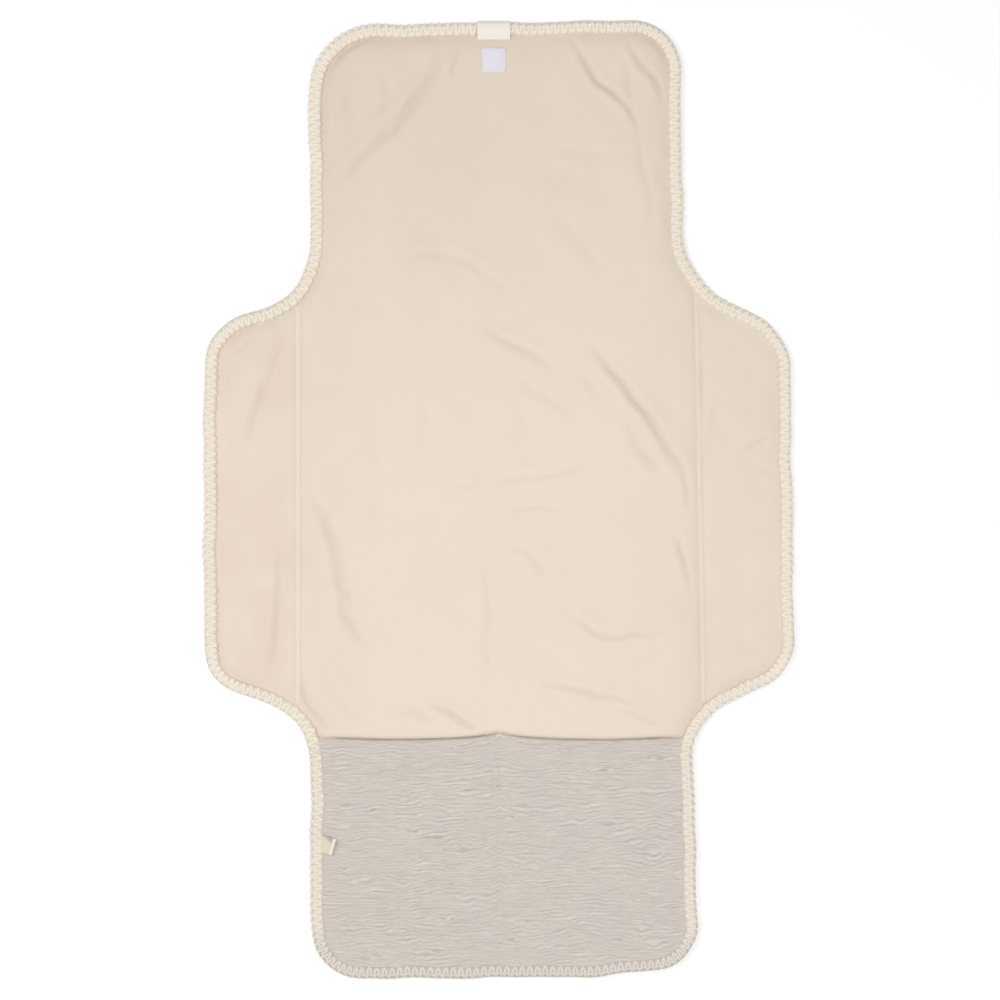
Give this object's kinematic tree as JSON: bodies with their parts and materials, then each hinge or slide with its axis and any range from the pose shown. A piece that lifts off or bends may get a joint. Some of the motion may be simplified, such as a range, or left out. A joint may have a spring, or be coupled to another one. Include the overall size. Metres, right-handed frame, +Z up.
{
  "type": "changing pad",
  "caption": "Fold-up fabric changing pad: padded mat with side wings, a split pocket panel at the foot, bound edges and a hook-and-loop closure.",
  "frame": {"origin": "middle of the pad's underside, laid flat", "axes": "+Y towards the head end, +Z up out of the lining, +X to the right seen from above"},
  "size_m": [0.492, 0.8, 0.0085],
  "materials": {
    "lining": "smooth coated cloth, matt",
    "muslin": "crinkled muslin",
    "batting": "soft fibre wadding",
    "binding": "looped edge binding",
    "label": "woven satin tape",
    "closure": "hook and loop tape",
    "thread": "spun thread"
  },
  "bodies": {
    "upper_panel": {"upper_shell": "muslin", "upper_batting": "batting", "upper_lining": "lining", "upper_binding": "binding", "upper_seam_thread": "thread"},
    "head_panel": {"head_shell": "muslin", "head_batting": "batting", "head_lining": "lining", "head_binding": "binding", "top_label": "label", "loop_patch": "closure", "loop_patch_thread": "thread"},
    "lower_panel": {"lower_shell": "muslin", "lower_batting": "batting", "lower_lining": "lining", "lower_binding": "binding", "lower_seam_thread": "thread", "hook_patch": "closure", "hook_patch_thread": "thread"},
    "pocket_panel": {"pocket_shell": "muslin", "pocket_base_lining": "lining", "pocket_facing": "lining", "pocket_front": "muslin", "pocket_binding": "binding", "pocket_centre_thread": "thread", "pocket_hem_thread": "thread", "care_tab": "binding"},
    "upper_left_wing": {"upper_left_wing_shell": "muslin", "upper_left_wing_lining": "lining", "upper_left_wing_binding": "binding"},
    "upper_right_wing": {"upper_right_wing_shell": "muslin", "upper_right_wing_lining": "lining", "upper_right_wing_binding": "binding"},
    "lower_left_wing": {"lower_left_wing_shell": "muslin", "lower_left_wing_lining": "lining", "lower_left_wing_binding": "binding"},
    "lower_right_wing": {"lower_right_wing_shell": "muslin", "lower_right_wing_lining": "lining", "lower_right_wing_binding": "binding"}
  },
  "joints": [
    {"name": "head_fold", "type": "hinge", "parent": "upper_panel", "child": "head_panel", "pos_m": [0, 0.2, 0.0189], "axis": [1, 0, 0], "range_deg": [0, 179.98]},
    {"name": "middle_fold", "type": "hinge", "parent": "upper_panel", "child": "lower_panel", "pos_m": [0, 0, 0.0155], "axis": [-1, 0, 0], "range_deg": [0, 179.98]},
    {"name": "pocket_fold", "type": "hinge", "parent": "lower_panel", "child": "pocket_panel", "pos_m": [0, -0.2, 0.0099], "axis": [-1, 0, 0], "range_deg": [0, 179.98]},
    {"name": "left_wing_fold", "type": "hinge", "parent": "upper_panel", "child": "upper_left_wing", "pos_m": [-0.168, 0, 0.0054], "axis": [0, 1, 0], "range_deg": [0, 179.98]},
    {"name": "right_wing_fold", "type": "hinge", "parent": "upper_panel", "child": "upper_right_wing", "pos_m": [0.168, 0, 0.0054], "axis": [0, -1, 0], "range_deg": [0, 179.98]},
    {"name": "lower_left_wing_fold", "type": "hinge", "parent": "lower_panel", "child": "lower_left_wing", "pos_m": [-0.168, 0, 0.0054], "axis": [0, 1, 0], "range_deg": [0, 179.98]},
    {"name": "lower_right_wing_fold", "type": "hinge", "parent": "lower_panel", "child": "lower_right_wing", "pos_m": [0.168, 0, 0.0054], "axis": [0, -1, 0], "range_deg": [0, 179.98]}
  ],
  "couplings": [
    {"joint": "lower_left_wing_fold", "follows": "left_wing_fold", "ratio": 1},
    {"joint": "lower_right_wing_fold", "follows": "right_wing_fold", "ratio": 1}
  ]
}
